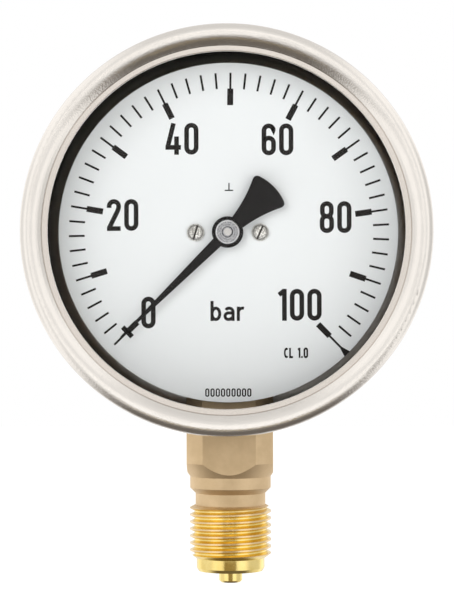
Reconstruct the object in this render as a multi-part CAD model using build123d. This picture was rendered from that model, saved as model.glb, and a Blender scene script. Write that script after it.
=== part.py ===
from build123d import *
from math import atan2, cos, degrees, pi, radians, sin, sqrt, tan
import os

# Pressure gauge, nominal size 100, 0 to 100 bar, lower mount G 1/2 B.
# Millimetres. +Z is up, the dial faces -Y. The origin is the centre of the
# sealing face at the lower end of the connection, on the stem axis.

# ---- gauge axis and case -------------------------------------------------
CENTRE_Z = 86.5          # gauge axis above the sealing face
CASE_R = 49.5
CASE_WALL = 1.0
CASE_BACK_Y = 15.5
CASE_BACK_RADIUS = 5.0
CASE_RIM_Y = -24.0
CASE_FLANGE_R = 45.0
STEM_GAP = 0.15          # between the stem and its hole in the case
STEM_GASKET_WIDTH = 2.6
WALL_PRISM_Z0 = 30.0
WALL_PRISM_HEIGHT = 12.0

# ---- bezel ring and window -----------------------------------------------
RING_R = 50.5
RING_SKIRT_R = 49.65
RING_REAR_Y = -19.0
RING_CREST = (48.45, -34.0)  # front of the bead, (radius, y)
RING_OUTER_BEND = 2.05
RING_INNER_BEND = 3.9
RING_INNER_BEND_DEG = 39.0
RING_SHEET = 0.85
RING_LIP_R = 43.7
RING_SEAT_R = 44.2          # inner face of the rim that holds the window
RING_LIP_Y = -32.15
RING_LIP_EDGE = 0.2
RING_STEP_R = 45.35
RING_STEP_WIDTH = 0.3
WINDOW_R = 47.0
WINDOW_FRONT_Y = -28.9
WINDOW_BACK_Y = -25.9
SEAT_GAP = 0.05          # round the window and round the brazed tube
GASKET_INNER_R = 44.5
GASKET_OUTER_R = 48.9

# ---- stem and connection -------------------------------------------------
THREAD_MAJOR_R = 20.955 / 2
THREAD_MINOR_R = 18.631 / 2
THREAD_PITCH = 1.814
THREAD_Z0 = 3.3
THREAD_Z1 = 16.9
THREAD_START_Z = 0.8     # height of the ridge where it starts, on the +X side
PILOT_R = 8.75
PILOT_LEAD = (0.45, 0.8)  # chamfer, (radial, axial)
PIN_R = 3.0
PIN_LENGTH = 3.0
PIN_CHAMFER = 0.5
NECK_R = 9.0
NECK_Z = 20.0
COLLAR_R = 10.4
COLLAR_Z = 21.4
CONE_Z0 = 24.3
CONE_Z1 = 27.9
SQUARE_CORNER_R = 12.9
FLATS = 22.0             # spanner size
BLOCK_TOP_Z = 46.0
SEAT_TOP_Z = 56.0
SEAT_FRONT_Y = -6.0
TONGUE_TOP_Z = 63.0
TONGUE_FRONT_Y = -2.0
PAD_HALF_X = 9.0
PAD_Z0 = 44.0
BORE_R = 1.5
RESTRICTOR_R = 1.75
RESTRICTOR_Z0 = 2.0
RESTRICTOR_LENGTH = 6.0
RESTRICTOR_HOLE_R = 0.3

# ---- case screws and blow-out plug ---------------------------------------
CASE_SCREW_X = 5.5
CASE_SCREW_Z = 50.0
CASE_SCREW_R = 2.0
CASE_SCREW_HEAD_R = 3.6
CASE_SCREW_HEAD = 1.2
CASE_SCREW_LENGTH = 9.0
PLUG_Z = 116.5
PLUG_R = 6.5
PLUG_FLANGE_R = 8.0
PLUG_FLANGE = 1.5

# ---- bourdon tube --------------------------------------------------------
TUBE_R = 36.0            # mean radius of the curl
TUBE_DEPTH = 10.0        # flattened section, along the gauge axis
TUBE_HEIGHT = 5.0        # flattened section, radial
TUBE_WALL = 0.8
TUBE_ROOT_DEG = -96.0    # brazed end, inside the stem
TUBE_TIP_DEG = -40.0
END_PIECE_DEG = 7.0
END_PIECE_HEIGHT = 7.0
END_PIECE_DEPTH = 12.0
END_PLUG_DEG = 4.0
TIP_PIVOT_R = 29.5
TIP_PIVOT_DEG = -43.0
LUG_R = 2.3
LUG_DEPTH = 3.0

# ---- movement ------------------------------------------------------------
BACK_PLATE_Y = (-3.2, -2.0)
FRONT_PLATE_Y = (-12.0, -10.8)
BACK_PLATE_X = 12.0
FRONT_PLATE_X = 11.0
BACK_PLATE_Z = (57.0, 92.5)
FRONT_PLATE_Z = (60.5, 92.5)
PILLAR_R = 1.8
STUD_R = 1.0
RIVET_R = 1.2
DIAL_SCREW_X = 8.1
LOWER_PILLAR = (-9.3, 66.5)
MOUNT_SCREW_X = 8.0
MOUNT_SCREW_Z = 60.0
MOUNT_SCREW_R = 1.5
MOUNT_SCREW_HEAD_R = 2.5
MOUNT_SCREW_HEAD = 1.6
PIVOT_GAP = 0.05         # radial play of every arbor in its plate
SHAKE = 0.1              # end play of every arbor between the plates

# ---- gearing -------------------------------------------------------------
MODULE = 0.4
PRESSURE_DEG = 20.0
PINION_TEETH = 12
SECTOR_TEETH = 96        # teeth of the full circle the sector is cut from
SECTOR_CUT_TEETH = 12
SECTOR_FIRST_DEG = 93.75
THINNING = 0.035
PINION_ROOT_R = 1.9
PINION_TIP_R = 2.8
SECTOR_ROOT_R = 18.65
SECTOR_TIP_R = 19.48
CENTRE_DISTANCE = MODULE * (PINION_TEETH + SECTOR_TEETH) / 2
SECTOR_Z = CENTRE_Z - CENTRE_DISTANCE
SECTOR_Y = (-8.6, -7.6)
SECTOR_HUB_R = 3.2
SECTOR_ARBOR_R = 1.2
SECTOR_PIVOT_R = 0.6
PINION_Y = (-9.1, -7.1)
PINION_ARBOR_R = 1.0
PINION_PIVOT_R = 0.5
POINTER_SHAFT_R = 0.9
TAIL_R = 7.0
TAIL_DEG = -84.0
TAIL_PIN_R = 0.7
TAIL_PIN_PLAY = 0.35
LINK_Y = (-7.2, -6.4)
LINK_HALF_WIDTH = 1.3
LINK_EYE_R = 1.9
TIP_SCREW_R = 0.8

# ---- hairspring ----------------------------------------------------------
SPRING_Y = (-10.3, -9.8)
SPRING_INNER_R = 1.9
SPRING_OUTER_R = 6.2
SPRING_TURNS = 4.375
SPRING_THICKNESS = 0.12
SPRING_END_DEG = 135.0
SPRING_STUD_R = 0.6

# ---- dial and pointer ----------------------------------------------------
DIAL_R = 42.6
DIAL_Y = (-16.2, -15.6)
DIAL_HOLE_R = 2.2
DIAL_POST_R = 2.2
DIAL_SCREW_HEAD_R = 2.2
DIAL_SCREW_HEAD = 1.3
DIAL_SCREW_SLOT_DEG = (-17.0, -24.0)
POINTER_ZERO_DEG = 224.4
POINTER_Y = (-19.4, -18.9)
POINTER_DISC_R = 3.92
POINTER_TIP_R = 37.5
POINTER_ROOT_HALF = 1.45
POINTER_TIP_HALF = 0.2
POINTER_TAIL_R = 16.15
POINTER_TAIL_CORNER = (14.9, 5.6)
POINTER_TAIL_CORNER_R = 1.15
POINTER_TAIL_NECK = 1.9
POINTER_TAIL_HOLLOW = 0.55
HUB_R = 3.0
HUB_BUSH_R = 1.75
HUB_FRONT_Y = -20.1
HUB_BUSH_REAR_Y = -17.2
SHAFT_FRONT_Y = -20.6


def polar(radius, angle):
    return (radius * cos(radians(angle)), radius * sin(radians(angle)))


def spin(*edges):
    """Solid turned about the gauge axis from edges drawn as (radius, y)."""
    profile = make_face(Curve() + list(edges))
    return Pos(0, 0, CENTRE_Z) * revolve(profile, axis=Axis.Y)


def spin_points(*points):
    return spin(*Polyline(*points, close=True).edges())


def turn(*points):
    """Solid turned about the stem axis from corner points (radius, z)."""
    profile = Plane.XZ * make_face(Polyline(*points, close=True))
    return revolve(profile, axis=Axis.Z)


def rod(x, z, radius, y0, y1):
    """Round bar parallel to the gauge axis."""
    bar = Rot(90, 0, 0) * Cylinder(radius, abs(y1 - y0))
    return Pos(x, (y0 + y1) / 2, z) * bar


def block(x0, x1, y0, y1, z0, z1):
    middle = Pos((x0 + x1) / 2, (y0 + y1) / 2, (z0 + z1) / 2)
    return middle * Box(x1 - x0, y1 - y0, z1 - z0)


def slab(face, y0, y1, z=0.0):
    """Extrude a face drawn in front view (x, z) from y0 back to y1."""
    front = Plane(origin=(0, y0, z), x_dir=(1, 0, 0), z_dir=(0, -1, 0))
    return extrude(front * face, amount=y0 - y1)


def slotted_screw(x, z, seat_y, head_r, head, shank_r, length, slot_deg=0.0, facing=-1):
    """Cheese-head screw whose head stands off a seat; facing -1 is forward."""
    top_y = seat_y + facing * head
    dome_y = seat_y + facing * head * 0.6
    profile = make_face(
        Polyline((0, seat_y), (head_r, seat_y), (head_r, dome_y))
        + ThreePointArc((head_r, dome_y), (head_r * 0.72, (dome_y + 2 * top_y) / 3), (0, top_y))
        + Line((0, top_y), (0, seat_y))
    )
    head_solid = revolve(profile, axis=Axis.Y)
    slot = Rot(0, slot_deg, 0) * Box(0.22 * head_r, head, 2.4 * head_r)
    head_solid -= Pos(0, top_y, 0) * slot
    shank = rod(0, 0, shank_r, seat_y, seat_y - facing * length)
    return Pos(x, 0, z) * (head_solid + shank)


def involute_flank(base_r, start_r, end_r, steps=6):
    """Points (radius, angle) along an involute flank, angle 0 at the base circle."""
    points = []
    for i in range(steps + 1):
        radius = start_r + (end_r - start_r) * i / steps
        clipped = max(radius, base_r)
        pressure = sqrt(max((clipped / base_r) ** 2 - 1, 0.0))
        points.append((radius, pressure - atan2(pressure, 1.0)))
    return points


def tooth_angles(teeth, root_r, tip_r):
    """Half-angle of one tooth at successive radii from root to tip."""
    pitch_r = MODULE * teeth / 2
    base_r = pitch_r * cos(radians(PRESSURE_DEG))
    half_pitch = (pi * MODULE / 2 - THINNING) / (2 * pitch_r)
    at_pitch = tan(radians(PRESSURE_DEG)) - radians(PRESSURE_DEG)
    flank = involute_flank(base_r, root_r, tip_r)
    return [(radius, half_pitch + at_pitch - roll) for radius, roll in flank]


def toothed_points(teeth, root_r, tip_r, centres):
    """Front-view points round a run of teeth, in order of decreasing angle."""
    halves = tooth_angles(teeth, root_r, tip_r)
    points = []
    for centre in centres:
        for radius, half in halves:
            points.append(polar(radius, centre + degrees(half)))
        for radius, half in reversed(halves):
            points.append(polar(radius, centre - degrees(half)))
    return points


def tube_section(width, height):
    section = Rot(0, 0, 90) * SlotOverall(width, height)
    return Pos(TUBE_R, 0, 0) * section


def curl(face, start_deg, sweep_deg):
    """Turn a (radius, y) face about the gauge axis, clockwise from start_deg."""
    swept = revolve(face, axis=Axis.Y, revolution_arc=sweep_deg)
    return Pos(0, 0, CENTRE_Z) * Rot(0, -start_deg, 0) * swept


# ---- stem ----------------------------------------------------------------

def make_thread():
    """Right-hand Whitworth-form ridge wound on the thread core."""
    root_half = 0.44 * THREAD_PITCH
    crest_half = 0.11 * THREAD_PITCH
    root_r = THREAD_MINOR_R - 0.1
    path = Helix(THREAD_PITCH, THREAD_Z1 - THREAD_Z0 + 2 * THREAD_PITCH, root_r)
    ridge = make_face(Polyline(
        (root_r, -root_half),
        (THREAD_MAJOR_R, -crest_half),
        (THREAD_MAJOR_R, crest_half),
        (root_r, root_half),
        close=True,
    ))
    wound = sweep(Plane.XZ * ridge, path=path, is_frenet=True)
    wound = Pos(0, 0, THREAD_START_Z) * wound
    lead = THREAD_MAJOR_R - PILOT_R + 0.2
    envelope = turn(
        (0, THREAD_Z0),
        (PILOT_R + 0.2, THREAD_Z0),
        (THREAD_MAJOR_R, THREAD_Z0 + 0.6 * lead),
        (THREAD_MAJOR_R, THREAD_Z1 - 0.6),
        (THREAD_MINOR_R, THREAD_Z1),
        (0, THREAD_Z1),
    )
    core = turn((0, THREAD_Z0), (THREAD_MINOR_R, THREAD_Z0), (THREAD_MINOR_R, THREAD_Z1), (0, THREAD_Z1))
    return (core + wound) & envelope


def make_stem():
    half = FLATS / 2
    connection = turn(
        (0, -PIN_LENGTH),
        (PIN_R - PIN_CHAMFER, -PIN_LENGTH),
        (PIN_R, -PIN_LENGTH + PIN_CHAMFER),
        (PIN_R, 0),
        (PILOT_R - PILOT_LEAD[0], 0),
        (PILOT_R, PILOT_LEAD[1]),
        (PILOT_R, THREAD_Z0),
        (0, THREAD_Z0),
    )
    neck = turn(
        (0, THREAD_Z1),
        (NECK_R, THREAD_Z1),
        (NECK_R, NECK_Z),
        (COLLAR_R, COLLAR_Z),
        (COLLAR_R, CONE_Z0),
        (0, CONE_Z0),
    )
    shoulder = turn(
        (0, CONE_Z0),
        (COLLAR_R, CONE_Z0),
        (SQUARE_CORNER_R, CONE_Z1),
        (SQUARE_CORNER_R, BLOCK_TOP_Z),
        (0, BLOCK_TOP_Z),
    )
    shoulder &= block(-half, half, -half, half, CONE_Z0, BLOCK_TOP_Z)
    seat = block(-half, half, SEAT_FRONT_Y, half, BLOCK_TOP_Z, SEAT_TOP_Z)
    tongue = block(-half, half, TONGUE_FRONT_Y, half, SEAT_TOP_Z, TONGUE_TOP_Z)
    pad = block(-PAD_HALF_X, PAD_HALF_X, half, CASE_BACK_Y - CASE_WALL, PAD_Z0, SEAT_TOP_Z)
    body = connection + make_thread() + neck + shoulder + seat + tongue + pad

    root_x, root_dz = polar(TUBE_R, TUBE_ROOT_DEG)
    root_z = CENTRE_Z + root_dz
    bore_bottom = -PIN_LENGTH
    wide_top = RESTRICTOR_Z0 + RESTRICTOR_LENGTH
    body -= turn((0, bore_bottom), (RESTRICTOR_R, bore_bottom), (RESTRICTOR_R, wide_top), (0, wide_top))
    bore_top = root_z + BORE_R
    body -= turn((0, wide_top), (BORE_R, wide_top), (BORE_R, bore_top), (0, bore_top))
    body -= Pos(root_x / 2, 0, root_z) * Rot(0, 90, 0) * Cylinder(BORE_R - 0.3, abs(root_x))
    pocket = tube_section(TUBE_DEPTH + 2 * SEAT_GAP, TUBE_HEIGHT + 2 * SEAT_GAP)
    body -= curl(make_face(pocket.edges()), TUBE_ROOT_DEG, 20)
    for side in (-1, 1):
        body -= rod(side * MOUNT_SCREW_X, MOUNT_SCREW_Z, MOUNT_SCREW_R, TONGUE_FRONT_Y, TONGUE_FRONT_Y + 7)
        body -= rod(side * CASE_SCREW_X, CASE_SCREW_Z, CASE_SCREW_R, CASE_BACK_Y, CASE_BACK_Y - CASE_SCREW_LENGTH)
    return body


def make_restrictor():
    top = RESTRICTOR_Z0 + RESTRICTOR_LENGTH
    plug = turn(
        (RESTRICTOR_HOLE_R, RESTRICTOR_Z0),
        (RESTRICTOR_R, RESTRICTOR_Z0),
        (RESTRICTOR_R, top),
        (RESTRICTOR_HOLE_R, top),
    )
    return plug - block(-RESTRICTOR_R, RESTRICTOR_R, -0.3, 0.3, RESTRICTOR_Z0, RESTRICTOR_Z0 + 1)


# ---- case, ring and window -----------------------------------------------

def stem_outline(grow):
    half = FLATS / 2 + grow
    square = Rectangle(2 * half, 2 * half)
    return square & Circle(SQUARE_CORNER_R + grow)


def wall_prism(face):
    """Upright prism through the case wall where the stem comes in."""
    return Pos(0, 0, WALL_PRISM_Z0) * extrude(face, amount=WALL_PRISM_HEIGHT)


def drum(inset):
    """Cup shape of the case, moved inwards from its outer face by inset."""
    edge_r = CASE_R - CASE_BACK_RADIUS
    edge_y = CASE_BACK_Y - CASE_BACK_RADIUS
    front_y = CASE_RIM_Y + inset
    return spin(
        CenterArc((edge_r, edge_y), CASE_BACK_RADIUS - inset, 0, 90),
        *Polyline(
            (CASE_R - inset, edge_y),
            (CASE_R - inset, front_y),
            (0, front_y),
            (0, CASE_BACK_Y - inset),
            (edge_r, CASE_BACK_Y - inset),
        ).edges(),
    )


def make_case():
    inner_back = CASE_BACK_Y - CASE_WALL
    shell = drum(0) - drum(CASE_WALL)
    shell -= rod(0, CENTRE_Z, CASE_FLANGE_R, CASE_RIM_Y, CASE_RIM_Y + CASE_WALL)
    shell -= wall_prism(stem_outline(STEM_GAP))
    for side in (-1, 1):
        shell -= rod(side * CASE_SCREW_X, CASE_SCREW_Z, CASE_SCREW_R + 0.2, CASE_BACK_Y + 1, inner_back - 1)
    shell -= rod(0, PLUG_Z, PLUG_R, CASE_BACK_Y + 1, inner_back - 1)
    return shell


def bend_arc(radius, centre_y, end_deg):
    """Arc about a point behind the ring crest, from the crest towards end_deg, outwards positive."""
    crest_r = RING_CREST[0]
    points = []
    for angle in (0, end_deg / 2, end_deg):
        points.append((crest_r + radius * sin(radians(angle)), centre_y - radius * cos(radians(angle))))
    return ThreePointArc(*points)


def make_bezel_ring():
    crest_r, crest_y = RING_CREST
    outer_y = crest_y + RING_OUTER_BEND
    inner_y = crest_y + RING_INNER_BEND
    front_inner = bend_arc(RING_INNER_BEND, inner_y, -RING_INNER_BEND_DEG)
    back_inner = bend_arc(RING_INNER_BEND - RING_SHEET, inner_y, -RING_INNER_BEND_DEG)
    front_end = front_inner @ 1
    back_end = back_inner @ 1
    lip_back_y = RING_LIP_Y + RING_SHEET
    step_y = front_end.Y + (front_end.X - RING_STEP_R) * tan(radians(RING_INNER_BEND_DEG))
    return spin(
        Line((RING_R, RING_REAR_Y), (RING_R, outer_y)),
        bend_arc(RING_OUTER_BEND, outer_y, 90),
        front_inner,
        *Polyline(
            (front_end.X, front_end.Y),
            (RING_STEP_R, step_y),
            (RING_STEP_R - RING_STEP_WIDTH, RING_LIP_Y),
            (RING_LIP_R + RING_LIP_EDGE, RING_LIP_Y),
            (RING_LIP_R + 0.3 * RING_LIP_EDGE, RING_LIP_Y + 0.3 * RING_LIP_EDGE),
            (RING_LIP_R, RING_LIP_Y + RING_LIP_EDGE),
            (RING_LIP_R, lip_back_y),
            (RING_SEAT_R, lip_back_y),
            (RING_SEAT_R, WINDOW_FRONT_Y),
            (RING_SEAT_R + RING_SHEET, WINDOW_FRONT_Y),
            (RING_SEAT_R + RING_SHEET, lip_back_y),
            (RING_STEP_R + RING_LIP_EDGE, lip_back_y),
            (back_end.X, back_end.Y),
        ).edges(),
        back_inner,
        bend_arc(RING_OUTER_BEND - RING_SHEET, outer_y, 90),
        *Polyline((RING_SKIRT_R, outer_y), (RING_SKIRT_R, RING_REAR_Y), (RING_R, RING_REAR_Y)).edges(),
    )


def make_window():
    edge = 0.3
    return spin_points(
        (0, WINDOW_FRONT_Y),
        (WINDOW_R - edge, WINDOW_FRONT_Y),
        (WINDOW_R, WINDOW_FRONT_Y + edge),
        (WINDOW_R, WINDOW_BACK_Y - edge),
        (WINDOW_R - edge, WINDOW_BACK_Y),
        (0, WINDOW_BACK_Y),
    )


def make_window_gasket():
    lift_y = WINDOW_FRONT_Y + 0.5
    seat_r = WINDOW_R + SEAT_GAP
    return spin_points(
        (GASKET_INNER_R, WINDOW_BACK_Y),
        (seat_r, WINDOW_BACK_Y),
        (seat_r, lift_y),
        (GASKET_OUTER_R, lift_y),
        (GASKET_OUTER_R, CASE_RIM_Y),
        (GASKET_INNER_R, CASE_RIM_Y),
    )


def make_stem_gasket():
    collar = wall_prism(stem_outline(STEM_GASKET_WIDTH) - stem_outline(SEAT_GAP))
    return collar & drum(CASE_WALL)


def make_case_screws():
    screws = []
    for side in (-1, 1):
        screws.append(slotted_screw(
            side * CASE_SCREW_X, CASE_SCREW_Z, CASE_BACK_Y, CASE_SCREW_HEAD_R,
            CASE_SCREW_HEAD, CASE_SCREW_R, CASE_SCREW_LENGTH, 30.0 * side, facing=1))
    return Compound(children=screws)


def make_blowout_plug():
    inner_y = CASE_BACK_Y - CASE_WALL
    bead_r = PLUG_R + 0.6
    points = (
        (0, CASE_BACK_Y + PLUG_FLANGE - 0.4),
        (PLUG_FLANGE_R - 1.2, CASE_BACK_Y + PLUG_FLANGE - 0.4),
        (PLUG_FLANGE_R - 0.8, CASE_BACK_Y + PLUG_FLANGE),
        (PLUG_FLANGE_R - 0.3, CASE_BACK_Y + PLUG_FLANGE),
        (PLUG_FLANGE_R, CASE_BACK_Y + PLUG_FLANGE - 0.4),
        (PLUG_FLANGE_R, CASE_BACK_Y),
        (PLUG_R, CASE_BACK_Y),
        (PLUG_R, inner_y),
        (bead_r, inner_y),
        (PLUG_R - 0.6, inner_y - 2.2),
        (PLUG_R - 1.8, inner_y - 2.2),
        (PLUG_R - 1.8, inner_y),
        (0, inner_y),
    )
    profile = make_face(Polyline(*points, close=True))
    return Pos(0, 0, PLUG_Z) * revolve(profile, axis=Axis.Y)


# ---- pressure element ----------------------------------------------------

def make_tube():
    outer = tube_section(TUBE_DEPTH, TUBE_HEIGHT)
    inner = tube_section(TUBE_DEPTH - 2 * TUBE_WALL, TUBE_HEIGHT - 2 * TUBE_WALL)
    return curl(outer - inner, TUBE_ROOT_DEG, TUBE_ROOT_DEG + 360 - TUBE_TIP_DEG)


def tip_pivot():
    x, dz = polar(TIP_PIVOT_R, TIP_PIVOT_DEG)
    return (x, CENTRE_Z + dz)


def tail_pivot():
    dx, dz = polar(TAIL_R, TAIL_DEG)
    return (dx, SECTOR_Z + dz)


def make_end_piece():
    cap_face = Pos(TUBE_R, 0, 0) * Rectangle(END_PIECE_HEIGHT, END_PIECE_DEPTH)
    cap = curl(cap_face, TUBE_TIP_DEG, END_PIECE_DEG)
    plug_face = tube_section(TUBE_DEPTH - 2 * TUBE_WALL, TUBE_HEIGHT - 2 * TUBE_WALL)
    plug = curl(plug_face, TUBE_TIP_DEG + END_PLUG_DEG, END_PLUG_DEG)
    front_y = -END_PIECE_DEPTH / 2
    px, pz = tip_pivot()
    neck_x, neck_dz = polar(TUBE_R - END_PIECE_HEIGHT / 2 + 0.2, TUBE_TIP_DEG - END_PIECE_DEG / 2)
    length = sqrt((neck_x - px) ** 2 + (CENTRE_Z + neck_dz - pz) ** 2)
    angle = degrees(atan2(CENTRE_Z + neck_dz - pz, neck_x - px))
    arm = Rot(0, 0, angle) * Pos(length / 2, 0, 0) * Rectangle(length, 2 * LUG_R)
    lug_face = Pos(px, pz, 0) * (arm + Circle(LUG_R) - Circle(TIP_SCREW_R))
    lug = slab(lug_face, front_y, front_y + LUG_DEPTH)
    return cap + plug + lug


def make_tip_screw():
    x, z = tip_pivot()
    length = abs(LINK_Y[0] - SHAKE + END_PIECE_DEPTH / 2) + LUG_DEPTH
    return slotted_screw(x, z, LINK_Y[0] - SHAKE, 1.5, 0.8, TIP_SCREW_R, length, 40.0)


def make_link():
    ax, az = tip_pivot()
    bx, bz = tail_pivot()
    length = sqrt((ax - bx) ** 2 + (az - bz) ** 2)
    angle = degrees(atan2(az - bz, ax - bx))
    bar = Pos(length / 2, 0, 0) * Rectangle(length, 2 * LINK_HALF_WIDTH)
    tail_hole = Circle(TAIL_PIN_R + TAIL_PIN_PLAY)
    tip_hole = Pos(length, 0, 0) * Circle(TIP_SCREW_R + PIVOT_GAP)
    strap = bar + Circle(LINK_EYE_R) + Pos(length, 0, 0) * Circle(LINK_EYE_R) - tail_hole - tip_hole
    return slab(Pos(bx, bz, 0) * Rot(0, 0, angle) * strap, *LINK_Y)


# ---- movement ------------------------------------------------------------

def plate(half_x, z_range, y_range, corner=2.0):
    height = z_range[1] - z_range[0]
    face = Pos(0, (z_range[0] + z_range[1]) / 2, 0) * RectangleRounded(2 * half_x, height, corner)
    return slab(face, *y_range)


def pillar_places():
    return [(-DIAL_SCREW_X, CENTRE_Z), (DIAL_SCREW_X, CENTRE_Z), LOWER_PILLAR]


def make_back_plate():
    solid = plate(BACK_PLATE_X, BACK_PLATE_Z, BACK_PLATE_Y)
    front, rear = BACK_PLATE_Y
    solid -= rod(0, CENTRE_Z, PINION_PIVOT_R + PIVOT_GAP, front, rear)
    solid -= rod(0, SECTOR_Z, SECTOR_PIVOT_R + PIVOT_GAP, front, rear)
    for x, z in pillar_places():
        solid -= rod(x, z, RIVET_R, front, rear)
    for side in (-1, 1):
        solid -= rod(side * MOUNT_SCREW_X, MOUNT_SCREW_Z, MOUNT_SCREW_R + 0.1, front, rear)
    return solid


def make_front_plate():
    solid = plate(FRONT_PLATE_X, FRONT_PLATE_Z, FRONT_PLATE_Y)
    front, rear = FRONT_PLATE_Y
    solid -= rod(0, CENTRE_Z, POINTER_SHAFT_R + PIVOT_GAP, front, rear)
    solid -= rod(0, SECTOR_Z, SECTOR_PIVOT_R + PIVOT_GAP, front, rear)
    for x, z in pillar_places():
        solid -= rod(x, z, STUD_R, front, rear)
    return solid


def make_pillars():
    pillars = []
    for x, z in pillar_places():
        body = rod(x, z, PILLAR_R, FRONT_PLATE_Y[1], BACK_PLATE_Y[0])
        body += rod(x, z, RIVET_R, BACK_PLATE_Y[0], BACK_PLATE_Y[1])
        body -= rod(x, z, STUD_R, FRONT_PLATE_Y[1], FRONT_PLATE_Y[1] + 3)
        pillars.append(body)
    return Compound(children=pillars)


def make_mount_screws():
    screws = []
    for side in (-1, 1):
        screws.append(slotted_screw(
            side * MOUNT_SCREW_X, MOUNT_SCREW_Z, BACK_PLATE_Y[0], MOUNT_SCREW_HEAD_R,
            MOUNT_SCREW_HEAD, MOUNT_SCREW_R, 7.0, 25.0 * side))
    return Compound(children=screws)


def make_plate_screw():
    x, z = LOWER_PILLAR
    return slotted_screw(x, z, FRONT_PLATE_Y[0], 1.9, 1.1, STUD_R, 3.6, 60.0)


def make_dial_posts():
    posts = []
    for side in (-1, 1):
        x = side * DIAL_SCREW_X
        body = rod(x, CENTRE_Z, DIAL_POST_R, DIAL_Y[1], FRONT_PLATE_Y[0])
        body += rod(x, CENTRE_Z, STUD_R, FRONT_PLATE_Y[0], FRONT_PLATE_Y[1] + 2.5)
        body -= rod(x, CENTRE_Z, STUD_R, DIAL_Y[1], DIAL_Y[1] + 3)
        posts.append(body)
    return Compound(children=posts)


def make_sector():
    step = 360 / SECTOR_TEETH
    centres = [SECTOR_FIRST_DEG - step * i for i in range(SECTOR_CUT_TEETH)]
    teeth = toothed_points(SECTOR_TEETH, SECTOR_ROOT_R, SECTOR_TIP_R, centres)
    left_deg = SECTOR_FIRST_DEG + step / 2
    right_deg = centres[-1] - step / 2
    outline = Polyline(
        *teeth,
        polar(SECTOR_ROOT_R, right_deg),
        polar(SECTOR_HUB_R * 0.9, right_deg - 12),
        (0, 0),
        polar(SECTOR_HUB_R * 0.9, left_deg + 12),
        polar(SECTOR_ROOT_R, left_deg),
        close=True,
    )
    wedge = make_face(outline)
    inner_r, outer_r, margin = 6.0, 16.0, 5.5
    window = make_face(
        Line(polar(inner_r, left_deg - 2.2 * margin), polar(outer_r, left_deg - margin))
        + CenterArc((0, 0), outer_r, right_deg + margin, left_deg - right_deg - 2 * margin)
        + Line(polar(outer_r, right_deg + margin), polar(inner_r, right_deg + 2.2 * margin))
        + CenterArc((0, 0), inner_r, right_deg + 2.2 * margin, left_deg - right_deg - 4.4 * margin)
    )
    arm = Pos(TAIL_R / 2, 0, 0) * Rectangle(TAIL_R, 3.0)
    tail = Rot(0, 0, TAIL_DEG) * (arm + Pos(TAIL_R, 0, 0) * Circle(1.7))
    tail_hole = Pos(*polar(TAIL_R, TAIL_DEG), 0) * Circle(TAIL_PIN_R)
    face = wedge + Circle(SECTOR_HUB_R) + tail - window - Circle(SECTOR_ARBOR_R) - tail_hole
    return slab(face, *SECTOR_Y, z=SECTOR_Z)


def make_sector_arbor():
    front = FRONT_PLATE_Y[1] + SHAKE
    rear = BACK_PLATE_Y[0] - SHAKE
    body = rod(0, SECTOR_Z, SECTOR_ARBOR_R, front, rear)
    return body + rod(0, SECTOR_Z, SECTOR_PIVOT_R, FRONT_PLATE_Y[0] + SHAKE, BACK_PLATE_Y[1] - SHAKE)


def make_tail_pin():
    x, z = tail_pivot()
    head_rear = LINK_Y[1] + SHAKE
    pin = rod(x, z, TAIL_PIN_R, SECTOR_Y[0], head_rear)
    return pin + rod(x, z, TAIL_PIN_R + 0.6, head_rear, head_rear + 0.5)


def make_pinion_arbor():
    step = 360 / PINION_TEETH
    centres = [-90 - step / 2 - step * i for i in range(PINION_TEETH)]
    ring = Polyline(*toothed_points(PINION_TEETH, PINION_ROOT_R, PINION_TIP_R, centres), close=True)
    body = slab(make_face(ring), *PINION_Y, z=CENTRE_Z)
    shoulder = FRONT_PLATE_Y[1] + SHAKE
    body += rod(0, CENTRE_Z, PINION_ARBOR_R, shoulder, BACK_PLATE_Y[0] - SHAKE)
    body += rod(0, CENTRE_Z, PINION_PIVOT_R, BACK_PLATE_Y[0] - SHAKE, BACK_PLATE_Y[1] - SHAKE)
    return body + rod(0, CENTRE_Z, POINTER_SHAFT_R, SHAFT_FRONT_Y, shoulder)


# ---- hairspring ----------------------------------------------------------

def spiral_points(offset):
    count = 90
    points = []
    for i in range(count + 1):
        share = i / count
        radius = SPRING_INNER_R + SPRING_THICKNESS / 2 + (SPRING_OUTER_R - SPRING_INNER_R) * share
        points.append(polar(radius + offset, SPRING_END_DEG - 360 * SPRING_TURNS * (1 - share)))
    return points


def make_hairspring():
    half = SPRING_THICKNESS / 2
    outer = spiral_points(half)
    inner = spiral_points(-half)
    face = make_face(
        Spline(*outer)
        + Line(outer[-1], inner[-1])
        + Spline(*inner)
        + Line(inner[0], outer[0])
    )
    return slab(face, *SPRING_Y, z=CENTRE_Z)


def make_collet():
    ring = Circle(SPRING_INNER_R) - Circle(PINION_ARBOR_R)
    return slab(ring, SPRING_Y[0] - 0.1, SPRING_Y[1] + 0.1, z=CENTRE_Z)


def make_spring_stud():
    x, dz = polar(SPRING_OUTER_R + SPRING_THICKNESS + SPRING_STUD_R, SPRING_END_DEG)
    return rod(x, CENTRE_Z + dz, SPRING_STUD_R, FRONT_PLATE_Y[1], SPRING_Y[1] + 0.2)


# ---- dial and pointer ----------------------------------------------------

def make_dial():
    face = Circle(DIAL_R) - Circle(DIAL_HOLE_R)
    for side in (-1, 1):
        face -= Pos(side * DIAL_SCREW_X, 0, 0) * Circle(STUD_R + 0.1)
    return slab(face, *DIAL_Y, z=CENTRE_Z)


def make_dial_screws():
    screws = []
    for side, slot_deg in zip((-1, 1), DIAL_SCREW_SLOT_DEG):
        screws.append(slotted_screw(
            side * DIAL_SCREW_X, CENTRE_Z, DIAL_Y[0], DIAL_SCREW_HEAD_R,
            DIAL_SCREW_HEAD, STUD_R, 3.5, -slot_deg))
    return Compound(children=screws)


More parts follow.
